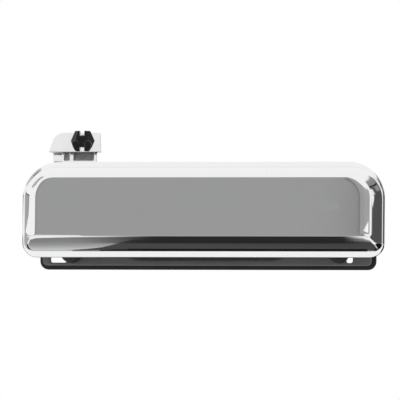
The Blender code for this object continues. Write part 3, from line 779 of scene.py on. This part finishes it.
WELL = ((-41.0, -35.6), (41.0, -9.0))
SLOT = ((-68.5, -17.2), (-56.5, -2.4))
WINDOWS = (((-74.2, -36.8), (-66.4, -25.0)), ((66.0, -36.8), (69.2, -25.0)))
WELL_STEPS = (  # (inset, y)
    (-0.4, BASE_FRONT - 0.5), (0.2, BASE_FRONT + 0.6), (1.5, -3.5), (4.0, 1.5),
    (5.4, 3.6), (7.0, 5.0), (8.6, 5.8), (10.0, 6.0),
)
WELL_WALL = 1.8
WELL_RADIUS = 10.0
BASE_EAR_X = 50.0
STUD_X = centre_mm("mounting_stud_right").x
BUMPERS = {side: centre_mm(f"bump_stop_{side}") for side, _ in SIDES}


def grown(low, high, by):
    """The corners of a rectangle that is larger by the same width all round."""
    return (low[0] - by, low[1] - by), (high[0] + by, high[1] + by)


def well_object(wall):
    """The well's solid, grown outwards and backwards by the wall."""
    rings = []
    for inset, y in WELL_STEPS:
        i = inset - wall
        low, high = grown(*WELL, -i)
        radius = WELL_RADIUS - i / 2
        outline = rounded_outline(low, high, radius, radius, (16, 16), (24, 8))
        rings.append([(x, y + wall, z) for x, z in outline])
    return mesh_object("well", loft_mesh(rings))


def frame_outline(margin):
    low, high = grown((GASKET_LOW.x, GASKET_LOW.z), (GASKET_HIGH.x, GASKET_HIGH.z), -margin)
    return rounded_outline(low, high, 12.0 - margin, 4.0 - margin, (20, 14))


def hole_outline(low, high, grow=0.0):
    return rounded_outline(*grown(low, high, grow), 0.8, 0.8, (5, 5))


def make_base():
    base = prism_object(frame_outline(1.8), -BASE_REAR, -BASE_FRONT, FACE_Y)
    joins = [well_object(WELL_WALL)]
    cuts = [well_object(0.0)]
    root, tip = BASE_REAR - 1, BASE_FRONT - 3.5
    ear_side = ear_outline(3.6, root, -5.0, 4.6)
    cheek_side = [(tip, -4.0), (root, -7.0), (root, 4.4), (tip, 4.0)]
    for _, sign in SIDES:
        x = sign * BASE_EAR_X
        joins += [along_x_prism(ear_side, x - 2, x + 2), along_x_prism(cheek_side, x - 0.9, x + 0.9)]
        cuts.append(hole_at(x, PIVOT.y, PIVOT.z, ALONG_X, 2.3, 5))
        cuts.append(hole_at(sign * STUD_X, BASE_REAR, 0, ALONG_Y, 3.2, 5))
    for bumper in BUMPERS.values():
        cuts.append(hole_at(bumper.x, BASE_REAR, bumper.z, ALONG_Y, 2.1, 5))
    for low, high in (SLOT, *WINDOWS):
        cuts.append(prism_object(hole_outline(low, high), -2, 10, FACE_Y))
    combine(base, "UNION", *joins)
    combine(base, "DIFFERENCE", *cuts)
    soften(base, 0.40, 3)
    base.name = "base"
    finish_piece(base, BLACK, "base", "black_base", "base_housing")


def make_gasket():
    well = rounded_outline(*grown(*WELL, 0.6), WELL_RADIUS, WELL_RADIUS, (16, 16))
    outlines = [frame_outline(0.0), well]
    outlines += [hole_outline(low, high, 0.5) for low, high in (SLOT, *WINDOWS)]
    outlines += [circle(3.6, 40, (sign * STUD_X, 0)) for _, sign in SIDES]
    thickness = GASKET_HIGH.y - GASKET_LOW.y
    middle = (GASKET_HIGH.y + GASKET_LOW.y) / 2
    gasket = flat_piece("gasket_pad", outlines, thickness, 0.45, place(0, middle, 0) @ FACE_Y)
    finish_piece(gasket, RUBBER, "base", "rubber", "gasket")


def make_bumpers():
    for side, centre in BUMPERS.items():
        low, high = box_mm(f"bump_stop_{side}")
        foot, top = -BASE_FRONT + GAP, -low.y  # heights above the door
        r = (high.x - low.x) / 2
        profile = [
            (0, -high.y), (1.8, -high.y), (1.8, foot), (r - 0.5, foot), (r - 0.15, foot + 0.3),
            (r, foot + 1.0), (r - 0.15, (foot + top) / 2), (r, top - 1.8), (r - 0.25, top - 0.9),
            (r - 0.9, top - 0.25), (r - 1.7, top), (1.0, top - 0.05), (0.6, top - 0.4), (0, top - 0.5),
        ]
        at = place(centre.x, 0, centre.z) @ FACE_Y
        bumper = mesh_object(f"bumper_{side}", lathe_mesh(profile), at)
        finish_piece(bumper, RUBBER, "base", "rubber", f"bump_stop_{side}")


# --- pin, bushings and spring


GROOVE_X, GROOVE_HALF = 53.6, 0.7  # the pin's end grooves: place and half width


def make_pin():
    r, groove = 2.0, 1.6
    outer, inner = GROOVE_X + GROOVE_HALF, GROOVE_X - GROOVE_HALF
    tip = [(0, PIN_END), (r - 0.5, PIN_END), (r, PIN_END - 0.5)]
    tip += [(r, outer), (groove, outer), (groove, inner), (r, inner)]
    profile = rounded_profile(tip + [(radius, -height) for radius, height in reversed(tip)], 0.12, 2)
    pin = mesh_object("pin", lathe_mesh(profile, 48), place(0, PIVOT.y, PIVOT.z) @ ALONG_X, 30)
    finish_piece(pin, ZINC, "base", "zinc_plated_steel", "pivot_pin")


def make_retaining_clips():
    """Open rings that grip the pin's grooves with two pads."""
    inner, relief, outer = 1.9, 2.4, 3.4
    right, left = -35, 215  # angles where the opening ends
    outline = arc((0, 0), outer, right, left, 40)
    for radius, start, end, steps in (
        (relief, left, 205, 8), (inner, 198, 118, 16), (relief, 112, 68, 8),
        (inner, 62, -18, 16), (relief, -25, right, 8),
    ):
        outline += arc((0, 0), radius, start, end, steps)
    turn = Matrix(((0, 0, 1, 0), (1, 0, 0, 0), (0, 1, 0, 0), (0, 0, 0, 1)))  # X, Y, Z to Y, Z, X
    for side, sign in SIDES:
        at = place(sign * GROOVE_X, PIVOT.y, PIVOT.z) @ turn
        ring = flat_piece(f"snap_ring_{side}", [outline], 0.8, 0.1, at)
        finish_piece(ring, STEEL, "base", "spring_steel", f"retaining_clip_{side}")


def make_bushings():
    inner, outer, flange = 2.25, 3.0, 4.4
    face = EAR_HALF + GAP
    profile = [
        (inner, face + 0.8), (inner + 0.2, face + 1.0), (flange - 0.25, face + 1.0),
        (flange, face + 0.75), (flange, face + 0.2), (flange - 0.2, face), (outer, face),
        (outer, face - 4.7), (outer - 0.3, face - 5.0), (inner + 0.2, face - 5.0), (inner, face - 4.8),
    ]
    for side, sign in SIDES:
        turn = ALONG_X if sign > 0 else AGAINST_X
        at = place(sign * EAR_X, PIVOT.y, PIVOT.z) @ turn
        bushing = mesh_object(f"bushing_{side}", lathe_mesh(profile, 64, True), at, 30)
        finish_piece(bushing, NYLON, "paddle", "nylon", f"pivot_bushing_{side}")


def smooth_route(points, steps):
    """Catmull-Rom through the points."""
    made = []
    padded = [points[0]] + points + [points[-1]]
    for a, b, c, d in zip(padded, padded[1:], padded[2:], padded[3:]):
        for i in range(steps):
            t = i / steps
            square, cube = 2 * a - 5 * b + 4 * c - d, 3 * b - a - 3 * c + d
            made.append(0.5 * (2 * b + (c - a) * t + square * t * t + cube * t ** 3))
    made.append(points[-1])
    return made


def make_spring():
    wire, coil, turns, pitch = 0.65, 3.8, 6, 1.8  # radii of wire and coil, turns, rise of a turn
    per_turn = 48
    points = []
    for i in range(turns * per_turn + 1):
        turn = 2 * math.pi * i / per_turn
        x = -turns * pitch / 2 + pitch * i / per_turn
        points.append(Vector((x, PIVOT.y + coil * math.cos(turn), PIVOT.z - coil * math.sin(turn))))
    first, last = points[0], points[-1]
    base_y, paddle_y = BASE_FRONT - wire - GAP, PANEL_BACK + wire + GAP
    base_leg = [(base_y, -8.5), (base_y, -5.0), (base_y - 0.6, -1.6)]
    base_leg = [Vector((first.x, y, z)) for y, z in base_leg] + [first]
    paddle_leg = [
        (last.y - 1.2, last.z - 3.3), (PIVOT.y - 3.0, PIVOT.z - 7.0),
        (paddle_y + 1.0, -8.5), (paddle_y, -12.0),
    ]
    paddle_leg = [last] + [Vector((last.x, y, z)) for y, z in paddle_leg]
    route = smooth_route(base_leg, 8)[:-1] + points + smooth_route(paddle_leg, 8)[1:]
    curve = bpy.data.curves.new("spring", "CURVE")
    curve.dimensions = "3D"
    curve.bevel_depth = wire * MM
    curve.bevel_resolution = 4
    curve.use_fill_caps = True
    spline = curve.splines.new("POLY")
    spline.points.add(len(route) - 1)
    for point, at in zip(spline.points, route):
        point.co = (*(at * MM), 1)
    drawn = scene_object("spring_curve", curve)
    spring = scene_object("spring", evaluated_mesh(drawn))
    bpy.data.objects.remove(drawn, do_unlink=True)
    spring.data.materials.clear()
    spring.data.materials.append(STEEL)
    spring.data.shade_smooth()
    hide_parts("return_spring")
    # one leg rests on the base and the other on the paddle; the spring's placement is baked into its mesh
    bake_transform(spring)


# --- fixings


def threaded_rows(radius, depth, pitch, low, high, steps):
    """Rings of a cylinder whose radius follows a helical thread, faded out at both ends."""
    count = int((high - low) / pitch * 8)
    rings = []
    for row in range(count + 1):
        height = low + (high - low) * row / count
        fade = min((height - low) / pitch, (high - height) / pitch, 1.0)
        ring = []
        for i in range(steps):
            turn = i / steps
            phase = (height / pitch - turn) % 1.0
            cut = depth * fade * min(abs(2 * phase - 1) * 1.25, 1.0)
            r = radius - cut
            ring.append((r * math.cos(2 * math.pi * turn), r * math.sin(2 * math.pi * turn), height))
        rings.append(ring)
    return rings


def plain_ring(radius, height, steps):
    return [(x, y, height) for x, y in circle(radius, steps)]


def make_studs():
    steps, r, seat = 40, 2.9, BASE_FRONT - GAP
    for side, sign in SIDES:
        low, high = box_mm(f"mounting_stud_{side}")
        head, top, end = (high.x - low.x) / 2, low.y, high.y
        start = (
            (head - 0.6, top), (head - 0.2, top + 0.1), (head, top + 0.4),
            (head, seat - 0.1), (head - 0.1, seat), (r, seat), (r, 0.0),
        )
        rings = [plain_ring(*row, steps) for row in start]
        rings += threaded_rows(r, 0.45, 1.0, 0.2, end - 1.0, steps)
        rings += [plain_ring(r - 0.3, end - 0.6, steps), plain_ring(r - 0.8, end, steps)]
        stud = mesh_object(f"stud_{side}", loft_mesh(rings), place(sign * STUD_X, 0, 0) @ ALONG_Y, 45)
        finish_piece(stud, ZINC, "base", "zinc_plated_steel", f"mounting_stud_{side}")


def make_washers():
    inner, edge = 3.2, 0.2
    for side, sign in SIDES:
        low, high = box_mm(f"mounting_washer_{side}")
        outer, front, rear = (high.x - low.x) / 2, low.y, high.y
        profile = [
            (inner, rear - edge), (inner + edge, rear), (outer - edge, rear), (outer, rear - edge),
            (outer, front + edge / 2), (outer - edge / 2, front), (inner + edge, front),
            (inner, front + edge),
        ]
        at = place(sign * STUD_X, 0, 0) @ ALONG_Y
        washer = mesh_object(f"washer_{side}", lathe_mesh(profile, 72, True), at, 35)
        finish_piece(washer, ZINC, "base", "zinc_plated_steel", f"mounting_washer_{side}")


def make_nuts():
    bore, mouth = 3.2, 3.75
    for side, sign in SIDES:
        low, high = box_mm(f"mounting_nut_{side}")
        front, rear = low.y, high.y
        corner = (high.z - low.z) / 2 + 0.15
        at = place(sign * STUD_X, 0, 0) @ ALONG_Y
        nut = prism_object(arc((0, 0), corner, 30, 330, 5), front, rear, at)
        flat = corner * math.cos(math.radians(30))
        chamfer = [
            (0, rear), (flat - 0.2, rear), (corner + 0.6, rear - 0.85), (corner + 0.6, front + 0.85),
            (flat - 0.2, front), (0, front),
        ]
        combine(nut, "INTERSECT", mesh_object("chamfer", lathe_mesh(chamfer), at))
        hole = [
            (0, rear + 0.1), (mouth, rear + 0.1), (bore, rear - 0.45), (bore, front + 0.45),
            (mouth, front - 0.1), (0, front - 0.1),
        ]
        combine(nut, "DIFFERENCE", mesh_object("bore", lathe_mesh(hole, 48), at))
        shade(nut.data, 25)
        nut.name = f"nut_{side}"
        finish_piece(nut, ZINC, "base", "zinc_plated_steel", f"mounting_nut_{side}")


# --- studio

# Soft cards round the object: (azimuth from, to, elevation from, to, softness, grey at the low
# and high elevation).  Azimuth 0 is in front of the handle, 90 at its right end, 180 behind.
CARDS = (
    (-32, 34, -41, 24, 2.5, 0.34, 0.34),  # wall in front
    (26, 82, -8, 24, 3.0, 0.36, 0.40),
    (-32, -20, -41, 24, 3.0, 0.28, 0.30),
    (-6.2, -3.8, -24, 22, 0.4, 0.20, 0.20),  # its seam
    (112, 248, -80, -42, 2.0, 0.20, 0.62),  # pale slope behind and below
    (112, 248, -42, -8, 1.5, 0.006, 0.006),  # dark gap above it
    (98, 139, -8, 30, 3.0, 0.080, 0.080),  # dark wall behind, at the right
    (98, 145, 30, 44, 3.0, 0.24, 0.28),
    (114, 132, 18, 28, 2.0, 0.28, 0.28),  # its lit corner, under a dark edge
    (100, 139, 28.5, 31.5, 0.6, 0.02, 0.02),
    (96, 106, 11, 24, 2.5, 0.92, 0.92),  # bright strip beside it
    (-100, -90, 22, 52, 1.5, 0.04, 0.04),  # struts at the left
    (-84, -76, 26, 52, 1.5, 0.06, 0.06),
    (-122, -110, 20, 48, 1.5, 0.04, 0.04),
)
ROOM_GREY = 0.94


def make_world():
    world = bpy.data.worlds.new("studio")
    bpy.context.scene.world = world
    world.use_nodes = True
    n = Nodes(world.node_tree)
    background = world.node_tree.nodes["Background"]
    direction = n.add("TexCoord").outputs["Generated"]
    x, y, z = n.add("SeparateXYZ", {"Vector": direction}).outputs
    degrees = math.degrees(1.0)
    turn = 120.0  # moves the azimuth's seam to where no card crosses it
    azimuth = n.math("MULTIPLY", n.math("ARCTAN2", x, n.math("MULTIPLY", y, -1.0)), degrees)
    azimuth = n.math("FLOORED_MODULO", n.math("ADD", azimuth, turn), 360.0)
    elevation = n.math("MULTIPLY", n.math("ARCSINE", z), degrees)
    grey = ROOM_GREY
    for az0, az1, el0, el1, soft, low, high in CARDS:
        sides = (
            n.step(azimuth, az0 + turn - soft, az0 + turn + soft),
            n.step(azimuth, az1 + turn + soft, az1 + turn - soft),
            n.step(elevation, el0 - soft, el0 + soft),
            n.step(elevation, el1 + soft, el1 - soft),
        )
        mask = sides[0]
        for side in sides[1:]:
            mask = n.math("MULTIPLY", mask, side)
        card = n.step(elevation, el0, el1, low, high) if low != high else low
        grey = n.mix(mask, grey, card)
    # the camera sees plain white, and the chrome sees the cards
    seen = n.add("LightPath").outputs["Is Camera Ray"]
    n.set(background, "Color", n.mix(seen, grey, 1.0))


def make_flag(name, corners, grey, fades=()):
    """A flat card that only the chrome sees; each fade is (axis, where it is clear, where it is full)."""
    bm = bmesh.new()
    bm.faces.new([bm.verts.new(corner) for corner in corners])
    flag = mesh_object(name, bm)
    material, n, _ = new_material(name)
    n.tree.nodes.clear()
    strength = n.step(n.noise(9.0, 2.0), 0.3, 0.7, grey * 0.85, grey * 1.15)
    surface = n.add("Emission", {"Strength": strength}).outputs[0]
    where = n.add("SeparateXYZ", {"Vector": n.position()})
    for axis, clear, full in fades:
        share = n.step(where.outputs[axis], clear * MM, full * MM)
        surface = n.mix_shaders(share, n.add("BsdfTransparent").outputs[0], surface)
    n.add("OutputMaterial", {"Surface": surface})
    flag.data.materials.append(material)
    for ray in ("camera", "diffuse", "shadow", "transmission"):
        setattr(flag, f"visible_{ray}", False)


def level_card(name, low, high, z, grey, fades=()):
    """A level flag between two corners."""
    (x0, y0), (x1, y1) = low, high
    make_flag(name, [(x0, y0, z), (x1, y0, z), (x1, y1, z), (x0, y1, z)], grey, fades)


def upright_card(name, middle, azimuth, reach, outline, grey):
    """A flag of (across, up) that stands off the middle towards the azimuth and faces it."""
    turn = math.radians(azimuth)
    out = Vector((math.sin(turn), -math.cos(turn), 0))
    across = Vector((math.cos(turn), math.sin(turn), 0))
    at = middle + out * reach
    make_flag(name, [at + across * u + Vector((0, 0, v)) for u, v in outline], grey)


TABLE_DROP = 100.0  # below the paddle's lower edge
TABLE_EDGE = (  # the table's left edge from the front backwards
    (-52.0, -2.0), (-60.0, 12.0), (-72.0, 45.0), (-92.0, 85.0), (-130.0, 125.0),
)
TABLE_RIGHT = ((130.0, 52.0), (110.0, -2.0))  # its right edge
TABLE_GAP = 150.0  # where the black strip behind the table ends
SHELF = ((-66.0, -42.0), (78.0, -22.0))  # a dark card just below the paddle's front
SHELF_FADES = (("X", -66.0, -20.0), ("X", 78.0, 66.0), ("Y", -42.0, -31.0))
FLAG_REACH, FLAG_TURN = 80.0, 212.0  # a grey card behind the left end: distance and azimuth
FLAG_EDGE = (
    (-60.0, 5.0), (52.0, 5.0), (46.0, -5.0), (27.0, -14.0), (12.0, -19.0),
    (60.0, -21.0), (60.0, -60.0), (-60.0, -60.0),
)
FLAG_CAP = ((-30.0, 4.2), (51.0, 4.2), (53.0, 6.2), (-30.0, 6.2))  # its dark upper edge
LEAF_REACH, LEAF_TURN, LEAF_HEIGHT = 60.0, 101.0, -2.5  # a narrow bright card off the right end
LEAF_EDGE = ((0.0, -6.0), (3.0, -2.0), (3.5, 3.0), (2.0, 9.0), (-2.5, 9.0), (-3.5, 2.0), (-2.5, -3.0))
# Small bright cards in front, as (x0, x1, y0, y1, low and high edge at x0, low and high edge at x1);
# x and z run from the paddle's nearest lower corner, y from the panel's front
GLEAMS = {
    "right": (-16.0, 48.0, -60.0, -17.0, 10.0, 11.5, 10.0, 19.5),
    "left": (-24.0, 15.0, -60.0, -60.0, -35.0, 5.5, -35.0, -12.0),
}


def make_flags():
    z = PADDLE_LOW.z - TABLE_DROP
    make_flag("dark_table", [(x, y, z) for x, y in TABLE_EDGE + TABLE_RIGHT], 0.058)
    (x0, y0), (x1, y1) = TABLE_EDGE[-1], TABLE_RIGHT[0]
    corners = ((x0, y0, z), (x1, y1, z), (x1, TABLE_GAP, z), (x0, TABLE_GAP, z))
    make_flag("black_strip", corners, 0.006)
    level_card("dark_shelf", *SHELF, PADDLE_LOW.z + GAP, 0.02, SHELF_FADES)
    middle = Vector((PADDLE_LOW.x + 4, -21.0, 0))
    upright_card("left_flag", middle, FLAG_TURN, FLAG_REACH, FLAG_EDGE, 0.36)
    upright_card("left_flag_cap", middle, FLAG_TURN, FLAG_REACH - 1, FLAG_CAP, 0.03)
    middle = Vector((PADDLE_HIGH.x - 4.8, PANEL_FRONT + 3.5, LEAF_HEIGHT))
    upright_card("leaf", middle, LEAF_TURN, LEAF_REACH, LEAF_EDGE, 0.9)
    for side, end in (("right", PADDLE_HIGH.x), ("left", PADDLE_LOW.x)):
        x0, x1, y0, y1, low0, high0, low1, high1 = GLEAMS[side]
        corner = Vector((end, PANEL_FRONT, PADDLE_LOW.z))
        outline = ((x0, y0, low0), (x1, y1, low1), (x1, y1, high1), (x0, y0, high0))
        make_flag(f"gleam_{side}", [corner + Vector(point) for point in outline], 0.95)


def make_floor():
    """A pale disc well below the handle; it faces down, so it is clear when seen from above."""
    bm = bmesh.new()
    bmesh.ops.create_circle(bm, cap_ends=True, segments=96, radius=3000.0)
    floor = mesh_object("floor", bm, place(0, 0, -350.0))
    material, n, shader = new_material("pale_floor")
    mottle = n.noise(6.0, 3.0)
    n.set(shader, "Base Color", n.ramp(mottle, (0.86, 0.86, 0.86), (0.90, 0.90, 0.90)))
    n.set(shader, "Roughness", 0.8)
    back, clear = n.add("NewGeometry").outputs["Backfacing"], n.add("BsdfTransparent").outputs[0]
    surface = n.mix_shaders(back, shader.outputs[0], clear)
    n.set(n.tree.nodes["Material Output"], "Surface", surface)
    floor.data.materials.append(material)
    floor.visible_glossy = False


def make_light():
    """One large soft lamp above and to the left; the chrome shows the room instead of it."""
    lamp = bpy.data.lights.new("soft_lamp", "AREA")
    lamp.size = 0.8
    lamp.energy = 6.0
    obj = scene_object("soft_lamp", lamp)
    obj.location = (-0.5, -0.9, 0.9)
    obj.rotation_euler = (-obj.location).to_track_quat("-Z", "Y").to_euler()
    obj.visible_glossy = False


# The camera stands far off, a little to the right of the handle and a little below it.
CAMERA_AZIMUTH, CAMERA_ELEVATION = 10.0, -3.5
CAMERA_DISTANCE = 3.0
CAMERA_ROLL = math.sin(math.radians(CAMERA_AZIMUTH)) * math.sin(math.radians(-CAMERA_ELEVATION))
FRAME_WIDTH = 0.1863  # width of the view at the handle
PADDLE_OFFSET = (0.0014, -0.0045)  # the paddle's centre from the middle of the view


def make_camera():
    a, e = math.radians(CAMERA_AZIMUTH), math.radians(CAMERA_ELEVATION)
    back = Vector((math.sin(a) * math.cos(e), -math.cos(a) * math.cos(e), math.sin(e)))
    # rolled until the handle's long edges lie level
    rotation = (-back).to_track_quat("-Z", "Y") @ Quaternion((0, 0, 1), CAMERA_ROLL)
    centre = (PADDLE_LOW + PADDLE_HIGH) / 2
    centre.y = RIM_REAR - 1.0
    aim = centre * MM - rotation @ Vector((*PADDLE_OFFSET, 0))
    camera = bpy.data.cameras.new("camera")
    camera.sensor_width = 36.0
    camera.lens = 36.0 * CAMERA_DISTANCE / FRAME_WIDTH
    camera.clip_start, camera.clip_end = 0.05, 50.0
    obj = scene_object("camera", camera)
    obj.rotation_mode = "QUATERNION"
    obj.rotation_quaternion = rotation
    obj.location = aim + back * CAMERA_DISTANCE
    bpy.context.scene.camera = obj


make_camera()
make_world()
make_floor()
make_light()
make_flags()
make_paddle()
make_paddle_insides()
make_lever()
make_lever_screws()
make_rod_clip()
make_base()
make_gasket()
make_bumpers()
make_pin()
make_retaining_clips()
make_bushings()
make_spring()
make_studs()
make_washers()
make_nuts()
bpy.context.scene.view_settings.view_transform = "Standard"
